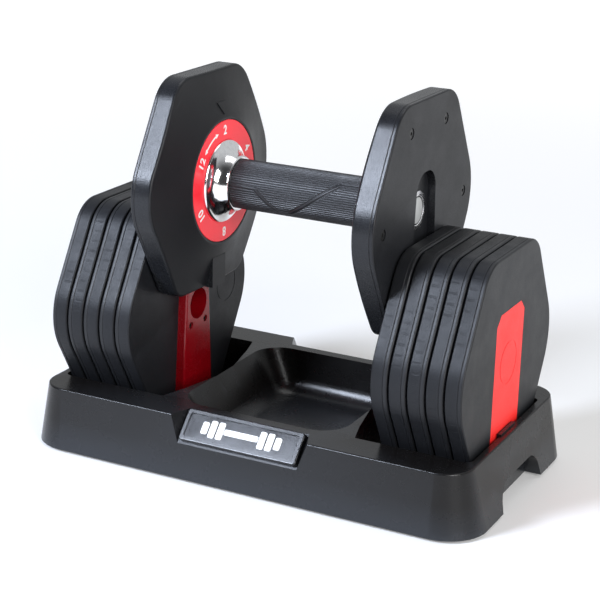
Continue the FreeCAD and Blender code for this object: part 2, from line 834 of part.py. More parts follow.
# ---- tray ------------------------------------------------------------------------------------


def rectangle(length, width):
    x = length / 2
    y = width / 2
    return [(x, -y), (x, y), (-x, y), (-x, -y)]


def tapered(length0, width0, corner0, z0, length1, width1, corner1, z1):
    low = rounded_wire(rectangle(length0, width0), [corner0] * 4, in_xy(z0))
    high = rounded_wire(rectangle(length1, width1), [corner1] * 4, in_xy(z1))
    return Part.makeLoft([low, high], True, True)


def tray_body(inset, z0, z1):
    """Outer form of the tray, or the same form drawn inside by inset."""
    full = tray_height - tray_base

    def size(z, low, high):
        return low + (high - low) * (z - tray_base) / full - 2 * inset

    return tapered(
        size(z0, tray_bottom_length, tray_top_length),
        size(z0, tray_bottom_width, tray_top_width),
        tray_bottom_corner - inset,
        z0,
        size(z1, tray_bottom_length, tray_top_length),
        size(z1, tray_bottom_width, tray_top_width),
        tray_top_corner - inset,
        z1,
    )


def pocket(grow, z0, z1):
    """Space for the right-hand stack and disc. Its inner side bulges for the disc's dome."""
    side = pocket_half_width + grow
    near = rim_x - rim_clearance - grow
    bulge = dial_x - dome_clearance - grow
    shoulder = near - disc_dome_height / 2
    end = pocket_end_x + grow
    bulge_side = dial_outer / 3
    shoulder_side = dial_outer + dial_seat_width + 1
    half = [(near, side), (shoulder, shoulder_side), (bulge, bulge_side)]
    points = [(end, -side), (end, side)] + half + [(x, -y) for x, y in reversed(half)]
    bends = [pocket_bend] * 4
    radii = [pocket_corner + grow] * 2 + [dome_clearance + grow] + bends + [dome_clearance + grow]
    return prism(points, radii, in_xy(z0), Vector(0, 0, z1 - z0))


def basin(grow, z0, z1):
    """Space for the hand under the grip, with ramps at its two ends."""
    full = tray_height - basin_floor_height

    def size(z, low, high):
        return low + (high - low) * (z - basin_floor_height) / full + 2 * grow

    def corner(z):
        return size(z, basin_floor_corner, basin_top_corner) - grow

    return tapered(
        size(z0, basin_floor_length, basin_top_length),
        size(z0, basin_floor_width, basin_top_width),
        corner(z0),
        z0,
        size(z1, basin_floor_length, basin_top_length),
        size(z1, basin_floor_width, basin_top_width),
        corner(z1),
        z1,
    )


def arch(grow):
    """Finger opening at the foot of the right-hand end wall."""
    half = arch_half_width + grow
    top = arch_height + grow
    points = [(-half, -tray_wall), (half, -tray_wall), (half - arch_draft, top), (arch_draft - half, top)]
    radii = [0.0, 0.0, arch_corner + grow, arch_corner + grow]
    start = pocket_end_x + tray_wall - grow
    return prism(points, radii, in_yz(start), Vector(tray_bottom_length / 2 + 1 - start, 0, 0))


def name_recess(grow):
    """Wedge taken out of the front top edge. Its ends slant out to the wall."""
    back = -tray_top_width / 2 + recess_depth + grow
    front = -tray_bottom_width / 2 - tray_wall
    rise = recess_drop / recess_depth
    low = tray_height - (back - front) * rise
    half = recess_half_width + grow
    slant = facet_width * (back - front) / recess_depth
    top = tray_height + 2
    above = 2 / rise
    corners_back = [Vector(-half, back + above, top), Vector(half, back + above, top)]
    corners_front_top = [Vector(-half - slant, front, top), Vector(half + slant, front, top)]
    corners_low = [Vector(-half, front, low), Vector(half, front, low)]
    a, b = corners_back
    c, d = corners_front_top
    e, f = corners_low
    sides = [facet(a, b, d, c), facet(a, b, f, e), facet(c, d, f, e), facet(a, c, e), facet(b, d, f)]
    return closed_solid(sides)


def both_ends(shape):
    return shape.fuse(to_left(shape))


def front_and_back(shape):
    return shape.fuse(shape.mirror(Vector(0, 0, 0), Vector(0, 1, 0)))


def corners(shape):
    return front_and_back(both_ends(shape))


def make_tray():
    top = tray_height
    outer = tray_body(0.0, tray_base, top)
    outer = soften(outer, tray_edge_rounding, lambda edge: edge.BoundBox.ZMin > top - 1e-3)

    pockets = both_ends(pocket(0.0, seat_z, top + 1))
    scoop = basin(0.0, basin_floor_height, top + 1)
    scoop = soften(scoop, basin_fillet, lambda edge: edge.BoundBox.ZMax < basin_floor_height + 1e-3)
    recesses = front_and_back(name_recess(0.0))

    hollow = tray_body(tray_wall, tray_base - 1, top - tray_wall)
    hollow = hollow.cut(both_ends(pocket(tray_wall, seat_z - tray_wall, top)))
    hollow = hollow.cut(basin(tray_wall, basin_floor_height - tray_wall, top + 1))
    hollow = hollow.cut(front_and_back(name_recess(tray_wall)))
    hollow = hollow.cut(both_ends(arch(arch_wall)))
    foot_x = tray_top_length / 2 - foot_inset_x
    foot_y = tray_top_width / 2 - foot_inset_y
    post = Part.makeCylinder(foot_diameter / 2 + foot_clearance, top, Vector(foot_x, foot_y, 0))
    hollow = hollow.cut(corners(post))

    body = outer.cut(pockets).cut(scoop).cut(recesses).cut(hollow).cut(both_ends(arch(0.0)))
    rib_top = top + rib_above_tray
    rib_start = stack_end_x + rib_clearance
    rib = box(rib_start, pocket_end_x + 1, -rib_half_width, rib_half_width, seat_z - 1, rib_top)
    body = body.fuse(both_ends(rib))
    export("tray_shell", body.removeSplitter())

    foot = Part.makeCylinder(foot_diameter / 2, foot_height, Vector(foot_x, foot_y, 0))
    foot = foot.makeChamfer(foot_chamfer, [edge for edge in foot.Edges if edge.BoundBox.ZMax < 0.01])
    export("tray_feet", corners(foot))


def on_slope(half_x, low, high, depth0, depth1, corner):
    """Block lying on the front recess: low and high are distances down the slope from its top."""
    down = Vector(0, -recess_depth, -recess_drop).normalize()
    out = Vector(0, -recess_drop, recess_depth).normalize()
    start = Vector(0, -tray_top_width / 2 + recess_depth, tray_height)

    def place(a, b):
        return start + Vector(a, 0, 0) + down * b + out * depth0

    points = [(-half_x, low), (half_x, low), (half_x, high), (-half_x, high)]
    return prism(points, [corner] * 4, place, out * (depth1 - depth0))


def make_badge():
    """Framed plate on the front recess, with a plain pictogram of a barbell."""
    low = badge_upper_margin
    high = math.hypot(recess_depth, recess_drop) + badge_overhang
    half = recess_half_width - badge_margin
    window_half = half - badge_rim
    window_low = low + badge_rim
    window_high = high - badge_rim
    out = Vector(0, -recess_drop, recess_depth).normalize()
    top = Vector(0, -tray_top_width / 2 + recess_depth, tray_height).dot(out) + badge_thickness

    def on_top(edge):
        return all(abs(vertex.Point.dot(out) - top) < 1e-4 for vertex in edge.Vertexes)

    frame = on_slope(half, low, high, 0.0, badge_thickness, badge_corner)
    frame = soften(frame, badge_edge_rounding, on_top)
    corner = badge_window_corner
    window = on_slope(window_half, window_low, window_high, badge_floor, 2 * badge_thickness, corner)
    export("badge_frame", frame.cut(window))

    gap = badge_plate_clearance
    face = badge_floor + badge_plate_thickness
    top_edge = window_low + gap
    low_edge = window_high - gap
    plate = on_slope(window_half - gap, top_edge, low_edge, badge_floor, face, corner)
    export("badge_plate", plate)

    middle = (low + high) / 2

    def bar(x, half_width, reach):
        corner = min(half_width, reach) / 2
        block = on_slope(half_width, middle - reach, middle + reach, face, face + emblem_height, corner)
        block.translate(Vector(x, 0, 0))
        return block

    tall = (window_high - window_low) * emblem_tall_share
    pieces = [bar(0.0, emblem_bar_half_length, emblem_bar_half_width)]
    for index, reach in enumerate((tall, tall, tall * emblem_short_share)):
        x = emblem_bar_half_length + (index + 0.5) * emblem_disc_pitch
        pieces.append(bar(x, emblem_disc_half_width, reach))
        pieces.append(bar(-x, emblem_disc_half_width, reach))
    export("badge_emblem", *pieces)


os.makedirs("parts", exist_ok=True)
make_tray()
make_badge()
make_plates()
make_frame()
make_grip()
make_bolts()
make_lock()
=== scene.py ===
"""Looks of the adjustable dumbbell and its tray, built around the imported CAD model."""

import json
import math

import bmesh
import bpy
from mathutils import Matrix, Vector
from mathutils.bvhtree import BVHTree


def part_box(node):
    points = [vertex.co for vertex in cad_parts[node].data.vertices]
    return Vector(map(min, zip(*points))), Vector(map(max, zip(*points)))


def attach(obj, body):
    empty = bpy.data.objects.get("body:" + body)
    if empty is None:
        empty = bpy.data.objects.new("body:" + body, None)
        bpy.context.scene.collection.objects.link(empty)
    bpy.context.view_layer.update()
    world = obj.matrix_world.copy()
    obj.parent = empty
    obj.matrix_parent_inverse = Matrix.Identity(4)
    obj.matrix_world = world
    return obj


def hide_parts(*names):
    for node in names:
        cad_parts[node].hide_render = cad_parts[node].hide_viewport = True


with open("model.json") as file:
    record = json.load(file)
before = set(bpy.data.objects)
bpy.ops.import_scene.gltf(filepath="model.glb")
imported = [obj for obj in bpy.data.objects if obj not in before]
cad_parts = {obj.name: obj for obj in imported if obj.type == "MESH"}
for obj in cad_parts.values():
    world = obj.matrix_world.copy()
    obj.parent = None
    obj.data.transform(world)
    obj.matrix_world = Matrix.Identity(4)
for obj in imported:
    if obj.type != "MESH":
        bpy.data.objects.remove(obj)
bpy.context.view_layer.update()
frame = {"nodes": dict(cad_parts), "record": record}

MM = 0.001
SIDES = ("left", "right")

# ---- places read from the frame --------------------------------------------------------------

grip_low, grip_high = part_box("grip_sleeve")
dial_low, dial_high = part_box("dial_right")
collar_low, collar_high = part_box("collar_right")
AXIS_Z = (grip_low.z + grip_high.z) / 2
GRIP_HALF = grip_high.x
GRIP_RADIUS = (grip_high.z - grip_low.z) / 2
DIAL_X = dial_low.x
DIAL_OUTER = (dial_high.z - dial_low.z) / 2
DIAL_INNER = (collar_high.z - collar_low.z) / 2
DIAL_MIDDLE = (DIAL_OUTER + DIAL_INNER) / 2
first_low, first_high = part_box("plate_shell_right_1")
PLATE_START = first_low.x
PLATE_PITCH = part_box("plate_shell_right_2")[0].x - PLATE_START
PLATE_MIDDLE = (first_high.x - first_low.x) / 2 / PLATE_PITCH
bolt_low, bolt_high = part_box("locking_bolt_right")
BOLT_END = bolt_high.x
BOLT_RADIUS = (bolt_high.z - bolt_low.z) / 2


# ---- node helper -----------------------------------------------------------------------------


class Graph:
    """Adds nodes to a material. Every method gives back the socket that holds its result."""

    def __init__(self, name):
        self.material = bpy.data.materials.new(name)
        self.material.use_nodes = True
        self.tree = self.material.node_tree
        self.shader = self.tree.nodes["Principled BSDF"]
        self.place = self.node("ShaderNodeTexCoord").outputs["Object"]

    def node(self, kind, **settings):
        made = self.tree.nodes.new(kind)
        for key, value in settings.items():
            setattr(made, key, value)
        return made

    def feed(self, socket, value):
        if isinstance(value, bpy.types.NodeSocket):
            self.tree.links.new(value, socket)
        else:
            socket.default_value = value

    def set(self, **values):
        for key, value in values.items():
            self.feed(self.shader.inputs[key.replace("_", " ")], value)
        return self

    def math(self, operation, a, b=0.0, clamp=False):
        made = self.node("ShaderNodeMath", operation=operation, use_clamp=clamp)
        self.feed(made.inputs[0], a)
        self.feed(made.inputs[1], b)
        return made.outputs[0]

    def stretch(self, scale):
        made = self.node("ShaderNodeMapping")
        self.feed(made.inputs["Vector"], self.place)
        made.inputs["Scale"].default_value = scale
        return made.outputs[0]

    def noise(self, scale, detail=2.0, roughness=0.5, vector=None, distortion=0.0):
        made = self.node("ShaderNodeTexNoise")
        self.feed(made.inputs["Vector"], vector or self.place)
        made.inputs["Scale"].default_value = scale
        made.inputs["Detail"].default_value = detail
        made.inputs["Roughness"].default_value = roughness
        made.inputs["Distortion"].default_value = distortion
        return made.outputs["Fac"]

    def cells(self, scale, feature="F1"):
        made = self.node("ShaderNodeTexVoronoi", feature=feature)
        self.feed(made.inputs["Vector"], self.place)
        made.inputs["Scale"].default_value = scale
        return made.outputs["Distance"]

    def remap(self, value, low, high, to_low, to_high):
        made = self.node("ShaderNodeMapRange")
        for index, entry in enumerate((value, low, high, to_low, to_high)):
            self.feed(made.inputs[index], entry)
        return made.outputs[0]

    def mix(self, amount, a, b):
        made = self.node("ShaderNodeMix", data_type="RGBA")
        self.feed(made.inputs["Factor"], amount)
        self.feed(made.inputs["A"], a)
        self.feed(made.inputs["B"], b)
        return made.outputs["Result"]

    def split(self, vector):
        made = self.node("ShaderNodeSeparateXYZ")
        self.feed(made.inputs[0], vector)
        return made.outputs

    def edges(self, low=0.52, high=0.62):
        """1 along worn outer edges, 0 on flat stretches."""
        pointy = self.node("ShaderNodeNewGeometry").outputs["Pointiness"]
        return self.remap(pointy, low, high, 0.0, 1.0)

    def bump(self, height, strength, depth, under=None):
        made = self.node("ShaderNodeBump")
        made.inputs["Strength"].default_value = strength
        made.inputs["Distance"].default_value = depth
        self.feed(made.inputs["Height"], height)
        if under is not None:
            self.feed(made.inputs["Normal"], under)
        return made.outputs["Normal"]


SINK_SPACING = 6.4 * MM
SINK_DEPTH = 0.07 * MM
SINK_STAGGER = 2.2  # radians from one plate to the next
SOFT_SHINE = 0.30
RIM_SHINE = 0.26
PLATE_SHINE = 0.21


def rgb(red, green, blue):
    return (red, green, blue, 1.0)


def shade(color, factor):
    return rgb(*(min(channel * factor, 1.0) for channel in color[:3]))


def moulded(name, color, roughness, grain=1500.0, grain_depth=0.03, smudge=0.06, wear=1.6, shine=0.5):
    """Moulded plastic: fine grain, faint patches in colour and gloss, and paler worn edges."""
    g = Graph(name)
    patches = g.noise(14.0, 4.0, 0.6)
    tone = g.mix(g.remap(patches, 0.35, 0.65, 0.0, 1.0), shade(color, 0.88), shade(color, 1.14))
    tone = g.mix(g.math("MULTIPLY", g.edges(), 0.5), tone, shade(color, wear))
    fine = g.noise(grain, 3.0, 0.6)
    handled = g.noise(45.0, 5.0, 0.65)
    gloss = g.remap(handled, 0.3, 0.7, roughness - smudge, roughness + smudge)
    gloss = g.math("ADD", gloss, g.remap(fine, 0.3, 0.7, -0.05, 0.05), clamp=True)
    normal = g.bump(fine, 1.0, grain_depth * MM)
    g.set(Base_Color=tone, Roughness=gloss, Normal=normal, Specular_IOR_Level=shine)
    return g


def rim_plastic(name, color, roughness):
    """Plate moulding whose rim shows small sink marks over the ribs inside it."""
    g = Graph(name)
    normal_axes = g.split(g.node("ShaderNodeTexCoord").outputs["Normal"])
    on_rim = g.remap(g.math("ABSOLUTE", normal_axes[0]), 0.2, 0.5, 1.0, 0.0)
    axes = g.split(g.place)
    along = g.math("DIVIDE", g.math("SUBTRACT", g.math("ABSOLUTE", axes[0]), PLATE_START), PLATE_PITCH)
    plate = g.math("FLOOR", along)
    across = g.math("ABSOLUTE", g.math("SUBTRACT", g.math("SUBTRACT", along, plate), PLATE_MIDDLE))
    inside = g.remap(across, 0.16, 0.26, 1.0, 0.0)
    phase = g.math("MULTIPLY", axes[2], 2 * math.pi / SINK_SPACING)
    phase = g.math("ADD", phase, g.math("MULTIPLY", plate, SINK_STAGGER))
    wave = g.remap(g.math("SINE", phase), 0.7, 0.95, 0.0, 1.0)
    patchy = g.remap(g.noise(1.0, 1.0, 0.5, vector=g.stretch((60.0, 30.0, 30.0))), 0.42, 0.62, 0.15, 1.0)
    mark = g.math("MULTIPLY", g.math("MULTIPLY", wave, patchy), g.math("MULTIPLY", inside, on_rim))
    patches = g.noise(16.0, 4.0, 0.6)
    tone = g.mix(g.remap(patches, 0.35, 0.65, 0.0, 1.0), shade(color, 0.85), shade(color, 1.2))
    tone = g.mix(g.math("MULTIPLY", g.edges(), 0.5), tone, shade(color, 2.5))
    fine = g.noise(1400.0, 3.0, 0.6)
    gloss = g.remap(g.noise(60.0, 4.0, 0.6), 0.3, 0.7, roughness - 0.05, roughness + 0.07)
    gloss = g.math("ADD", gloss, g.math("MULTIPLY", mark, 0.08))
    gloss = g.math("ADD", gloss, g.remap(fine, 0.3, 0.7, -0.06, 0.06), clamp=True)
    sunk = g.bump(g.math("MULTIPLY", mark, -1.0), 1.0, SINK_DEPTH)
    normal = g.bump(fine, 1.0, 0.09 * MM, under=sunk)
    g.set(Base_Color=tone, Roughness=gloss, Normal=normal, Specular_IOR_Level=PLATE_SHINE)
    return g


def disc_plastic(name, color):
    """Moulding of the handle's discs, satin on the rim and duller on the faces."""
    g = Graph(name)
    normal_axes = g.split(g.node("ShaderNodeTexCoord").outputs["Normal"])
    on_face = g.remap(g.math("ABSOLUTE", normal_axes[0]), 0.5, 0.85, 0.0, 1.0)
    patches = g.noise(14.0, 4.0, 0.6)
    tone = g.mix(g.remap(patches, 0.35, 0.65, 0.0, 1.0), shade(color, 0.85), shade(color, 1.2))
    tone = g.mix(g.math("MULTIPLY", g.edges(), 0.5), tone, shade(color, 2.5))
    fine = g.noise(1400.0, 3.0, 0.6)
    handled = g.remap(g.noise(50.0, 4.0, 0.6), 0.3, 0.7, -0.03, 0.05)
    gloss = g.math("ADD", g.remap(on_face, 0.0, 1.0, 0.25, 0.44), handled)
    gloss = g.math("ADD", gloss, g.remap(fine, 0.3, 0.7, -0.05, 0.05), clamp=True)
    normal = g.bump(fine, 1.0, 0.06 * MM)
    g.set(Base_Color=tone, Roughness=gloss, Normal=normal, Specular_IOR_Level=RIM_SHINE)
    return g


def tray_plastic(name):
    """Smooth moulded tray, brown-black above, with a painted floor reflection that makes it slightly blue and paler
    near the floor.
    """
    g = Graph(name)
    height = g.split(g.place)[2]
    # painted floor reflection: the tone turns paler and bluer towards the tray's bottom
    low = g.remap(height, 4.0 * MM, 24.0 * MM, 1.0, 0.0)
    tone = g.mix(g.math("MULTIPLY", low, 0.7), rgb(0.0042, 0.0036, 0.0034), rgb(0.020, 0.0225, 0.027))
    patches = g.noise(14.0, 4.0, 0.6)
    tone = g.mix(g.remap(patches, 0.4, 0.7, 0.0, 0.25), tone, rgb(0.007, 0.0066, 0.0066))
    tone = g.mix(g.math("MULTIPLY", g.edges(), 0.6), tone, rgb(0.030, 0.033, 0.038))
    fine = g.noise(1500.0, 3.0, 0.6)
    handled = g.noise(38.0, 4.0, 0.6)
    gloss = g.remap(handled, 0.3, 0.7, 0.24, 0.31)
    g.set(Base_Color=tone, Roughness=gloss, Normal=g.bump(fine, 1.0, 0.004 * MM))
    g.set(Specular_IOR_Level=SOFT_SHINE)
    return g


def brushed(name, color, roughness, stretch):
    """Machined metal with fine marks along one direction."""
    g = Graph(name)
    marks = g.noise(1.0, 4.0, 0.7, vector=g.stretch(stretch))
    tone = g.mix(g.remap(marks, 0.3, 0.7, 0.0, 1.0), shade(color, 0.8), shade(color, 1.1))
    gloss = g.remap(marks, 0.3, 0.7, roughness - 0.08, roughness + 0.1)
    g.set(Base_Color=tone, Roughness=gloss, Metallic=1.0, Normal=g.bump(marks, 0.4, 0.02 * MM))
    return g


def painted_number(name):
    g = Graph(name)
    spots = g.noise(900.0, 3.0, 0.6)
    tone = g.mix(g.remap(spots, 0.62, 0.7, 0.0, 0.5), rgb(0.86, 0.86, 0.84), rgb(0.7, 0.6, 0.58))
    g.set(Base_Color=tone, Roughness=g.remap(spots, 0.3, 0.7, 0.38, 0.52), Normal=g.bump(spots, 0.3, 0.02 * MM))
    return g


def chrome(name):
    g = Graph(name)
    haze = g.noise(300.0, 4.0, 0.6)
    tone = g.mix(g.remap(haze, 0.45, 0.7, 0.0, 1.0), rgb(0.9, 0.9, 0.91), rgb(0.82, 0.82, 0.84))
    swell = g.noise(60.0, 1.0, 0.4)
    normal = g.bump(swell, 0.35, 0.16 * MM)
    g.set(Base_Color=tone, Metallic=1.0, Roughness=g.remap(haze, 0.35, 0.75, 0.09, 0.17), Normal=normal)
    return g


def make_materials():
    coal = rgb(0.0085, 0.009, 0.0105)
    made = {
        "tray_plastic": tray_plastic("tray_plastic"),
        "foot_rubber": moulded("foot_rubber", rgb(0.012, 0.012, 0.012), 0.8, 700.0, 0.08),
        "badge_frame": moulded("badge_frame", rgb(0.006, 0.006, 0.007), 0.25, 1500.0, 0.008, 0.04, 3.0),
        "badge_plate": moulded("badge_plate", rgb(0.004, 0.004, 0.005), 0.18, 1500.0, 0.006, 0.04),
        "badge_emblem": painted_number("badge_emblem"),
        "plate_plastic": rim_plastic("plate_plastic", coal, 0.42),
        "cover_plastic": moulded("cover_plastic", coal, 0.44, 1400.0, 0.05, 0.05, 2.5, SOFT_SHINE),
        "disc_plastic": disc_plastic("disc_plastic", coal),
        "steel_core": brushed("steel_core", rgb(0.16, 0.16, 0.17), 0.5, (900.0, 60.0, 900.0)),
        "guide_plastic": moulded("guide_plastic", rgb(0.20, 0.0008, 0.004), 0.24, 1200.0, 0.006, 0.05, 1.3),
        "dark_screw": brushed("dark_screw", rgb(0.06, 0.06, 0.06), 0.4, (900.0, 900.0, 900.0)),
        "panel_plastic": moulded("panel_plastic", rgb(0.92, 0.022, 0.018), 0.40, 1200.0, 0.02, 0.05, 1.1, SOFT_SHINE),
        "grip_rubber": moulded("grip_rubber", rgb(0.009, 0.009, 0.0105), 0.42, 1800.0, 0.03, 0.05, 2.2, 0.4),
        "chrome_trim": chrome("chrome_trim"),
        "dial_plastic": moulded("dial_plastic", rgb(0.95, 0.012, 0.028), 0.35, 1200.0, 0.02, 0.05, 1.05),
        "nylon": moulded("nylon", rgb(0.06, 0.06, 0.06), 0.45),
        "steel": brushed("steel", rgb(0.75, 0.75, 0.77), 0.22, (60.0, 1200.0, 1200.0)),
        "bolt_end": moulded("bolt_end", rgb(0.42, 0.43, 0.43), 0.45, 900.0, 0.03, 0.05, 1.1),
        "bolt_steel": brushed("bolt_steel", rgb(0.10, 0.10, 0.105), 0.30, (60.0, 1200.0, 1200.0)),
        "number_paint": painted_number("number_paint"),
        "pointer_plastic": moulded("pointer_plastic", coal, 0.40, 1400.0, 0.05, 0.05, 2.5, RIM_SHINE),
    }
    return {key: graph.material for key, graph in made.items()}


def dress_frame(materials):
    """Give every CAD node its material, from its slot in the record."""
    for entry in frame["record"]["subparts"]:
        node = entry["node"]
        slot = entry["material_slot"]
        if node.startswith("plate_covers"):
            slot = "cover_plastic"
        if node.startswith("locking_bolt"):
            slot = "bolt_steel"
        mesh = frame["nodes"][node].data
        mesh.materials.clear()
        mesh.materials.append(materials[slot])


# ---- mesh helpers ----------------------------------------------------------------------------


def mesh_object(name, verts, faces, material, smooth=True):
    mesh = bpy.data.meshes.new(name)
    mesh.from_pydata(verts, [], faces)
    mesh.validate()
    made = bpy.data.objects.new(name, mesh)
    bpy.context.collection.objects.link(made)
    for polygon in mesh.polygons:
        polygon.use_smooth = smooth
    mesh.materials.append(material)
    return made


def outward(made):
    """Turn all faces of a closed mesh outwards."""
    work = bmesh.new()
    work.from_mesh(made.data)
    bmesh.ops.recalc_face_normals(work, faces=work.faces)
    work.to_mesh(made.data)
    work.free()
    return made


# ---- grip ------------------------------------------------------------------------------------

RIBS = 66
RIB_PROFILE = (0.0, 0.0, 0.0, 0.0, 0.0, 0.25, 0.85, 1.0, 0.85, 0.25)  # depth across one rib and its groove
RIB_DEPTH = 0.60 * MM
GRIP_ROUND = 0.8 * MM
GRIP_STEP = 0.5 * MM
BORE = GRIP_RADIUS - 2.0 * MM
GROOVE_OFFSET = 1.15 * MM  # of each of the two parallel grooves from the chevron's line
GROOVE_HALF = 0.30 * MM
GROOVE_EDGE = 0.30 * MM
GROOVE_DEPTH = 0.6 * MM


def distance_to_run(x, s, run):
    """Distance from a point of the unrolled grip to a line through several points."""
    best = 1.0
    for (x0, s0), (x1, s1) in zip(run, run[1:]):
        dx, ds = x1 - x0, s1 - s0
        t = ((x - x0) * dx + (s - s0) * ds) / (dx * dx + ds * ds)
        t = min(max(t, 0.0), 1.0)
        best = min(best, math.hypot(x - x0 - t * dx, s - s0 - t * ds))
    return best


def grip_run():
    """The chevron line, in metres along the grip and around it from its front."""
    points = ((-53.0, 3.0), (-31.0, 2.3), (-14.0, -14.0), (-6.0, -14.0), (33.0, 14.0), (53.0, 14.5))
    return [(x * MM, s * MM) for x, s in points]


def make_grip(materials):
    steps = len(RIB_PROFILE)
    around = RIBS * steps
    count = int(2 * GRIP_HALF / GRIP_STEP)
    run = grip_run()
    repeat = math.pi * GRIP_RADIUS
    verts = []
    for i in range(count + 1):
        x = -GRIP_HALF + 2 * GRIP_HALF * i / count
        into = max(abs(x) - (GRIP_HALF - GRIP_ROUND), 0.0)
        drop = GRIP_ROUND - math.sqrt(max(GRIP_ROUND**2 - into**2, 0.0))
        fade = 1.0 - min(into / GRIP_ROUND, 1.0)
        for j in range(around):
            turn = 2 * math.pi * j / around
            unrolled = (turn * GRIP_RADIUS + repeat / 2) % repeat - repeat / 2
            away = distance_to_run(x, unrolled, run)
            groove = 1.0 - min(max((abs(away - GROOVE_OFFSET) - GROOVE_HALF) / GROOVE_EDGE, 0.0), 1.0)
            rib = RIB_DEPTH * RIB_PROFILE[j % steps] if away > GROOVE_OFFSET else 0.0
            radius = GRIP_RADIUS - max(rib, GROOVE_DEPTH * groove) * fade - drop
            verts.append((x, -radius * math.cos(turn), AXIS_Z + radius * math.sin(turn)))
    rows = count + 1
    for x in (GRIP_HALF, -GRIP_HALF):
        for j in range(around):
            turn = 2 * math.pi * j / around
            verts.append((x, -BORE * math.cos(turn), AXIS_Z + BORE * math.sin(turn)))
    faces = []
    for i in range(rows + 1):
        upper = (i + 1) % (rows + 2)
        for j in range(around):
            k = (j + 1) % around
            faces.append((i * around + j, i * around + k, upper * around + k, upper * around + j))
    last = rows + 1
    for j in range(around):
        k = (j + 1) % around
        faces.append((last * around + j, last * around + k, k, j))
    grip = outward(mesh_object("ribbed_grip", verts, faces, materials["grip_rubber"]))
    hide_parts("grip_sleeve")
    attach(grip, "grip")


# ---- bolt ends -------------------------------------------------------------------------------

RING_WIDTH = 1.3 * MM
PLUG_RADIUS = 0.80 * BOLT_RADIUS
PROUD = 0.4 * MM
ROOT = 0.3 * MM  # how far both pieces reach into the bolt
TURN_STEPS = 64


def lathe(name, profile, closed, material):
    """Turned piece about the handle's axis, from (x, radius) points. An open profile gets flat ends."""
    verts = []
    for x, radius in profile:
        for j in range(TURN_STEPS):
            turn = 2 * math.pi * j / TURN_STEPS
            verts.append((x, radius * math.cos(turn), AXIS_Z + radius * math.sin(turn)))
    rows = len(profile)
    faces = []
    for i in range(rows if closed else rows - 1):
        upper = (i + 1) % rows
        for j in range(TURN_STEPS):
            k = (j + 1) % TURN_STEPS
            faces.append((i * TURN_STEPS + j, i * TURN_STEPS + k, upper * TURN_STEPS + k, upper * TURN_STEPS + j))
    if not closed:
        faces.append(tuple(range(TURN_STEPS)))
        faces.append(tuple(range((rows - 1) * TURN_STEPS, rows * TURN_STEPS)))
    made = outward(mesh_object(name, verts, faces, material))
    made.data.set_sharp_from_angle(angle=math.radians(40.0))
    return made


def make_bolt_ends(materials):
    outer = BOLT_RADIUS - 0.1 * MM
    middle = outer - RING_WIDTH / 2
    ring = [(-ROOT, outer), (0.5 * PROUD, outer)]
    ring += [(0.9 * PROUD, middle + 0.3 * RING_WIDTH), (PROUD, middle), (0.9 * PROUD, middle - 0.3 * RING_WIDTH)]
    ring += [(0.5 * PROUD, outer - RING_WIDTH), (-ROOT, outer - RING_WIDTH)]
    plug = [(-ROOT, PLUG_RADIUS), (0.3 * PROUD, PLUG_RADIUS), (0.6 * PROUD, PLUG_RADIUS - 0.4 * MM)]
    for side in SIDES:
        sign = 1 if side == "right" else -1
        for kind, profile, closed, finish, slot in (
            ("ring", ring, True, "chrome_trim", "chrome_trim"),
            ("plug", plug, False, "bolt_end", "nylon"),
        ):
            placed = [(sign * (BOLT_END + x), radius) for x, radius in profile]
            made = lathe("bolt_%s_%s" % (kind, side), placed, closed, materials[finish])
            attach(made, "bolt_%s" % side)


# ---- dial marks ------------------------------------------------------------------------------

MARK_HEIGHT = 0.12 * MM
NUMBER_SIZE = 9.2 * MM
NUMBERS = range(2, 14, 2)
ARROW_START = 105.0
ARROW_END = 139.0
ARROW_WIDTH = 1.3 * MM
ARROW_HEAD = 3.6 * MM


def on_dial(side, angle, radius, out=0.0):
    """Point on a dial's face. The angle goes from +Y towards +Z."""
    sign = 1 if side == "right" else -1
    turn = math.radians(angle)
    return Vector((sign * (DIAL_X - out), radius * math.cos(turn), AXIS_Z + radius * math.sin(turn)))


def dial_axes(side, angle):
    """Reading direction, upward direction and normal of a mark on a dial."""
    turn = math.radians(angle)
    up = Vector((0, math.cos(turn), math.sin(turn)))
    normal = Vector((-1 if side == "right" else 1, 0, 0))
    return up.cross(normal), up, normal


def number_object(side, value, angle, materials):
    curve = bpy.data.curves.new("number", "FONT")
    curve.body = str(value)
    curve.align_x = "CENTER"
    curve.align_y = "CENTER"
    curve.size = NUMBER_SIZE
    curve.offset = 0.22 * MM
    curve.extrude = MARK_HEIGHT / 2
    curve.resolution_u = 6
    text = bpy.data.objects.new("number", curve)
    across, up, normal = dial_axes(side, angle)
    turn = Matrix((across, up, normal)).transposed().to_4x4()
    text.matrix_world = Matrix.Translation(on_dial(side, angle, DIAL_MIDDLE, MARK_HEIGHT / 2)) @ turn
    bpy.context.collection.objects.link(text)
    bpy.context.view_layer.update()
    shape = bpy.data.meshes.new_from_object(text.evaluated_get(bpy.context.evaluated_depsgraph_get()))
    shape.transform(text.matrix_world)
    bpy.data.objects.remove(text)
    made = bpy.data.objects.new("dial_number_%s_%d" % (side, value), shape)
    bpy.context.collection.objects.link(made)
    shape.materials.clear()
    shape.materials.append(materials["number_paint"])
    return made


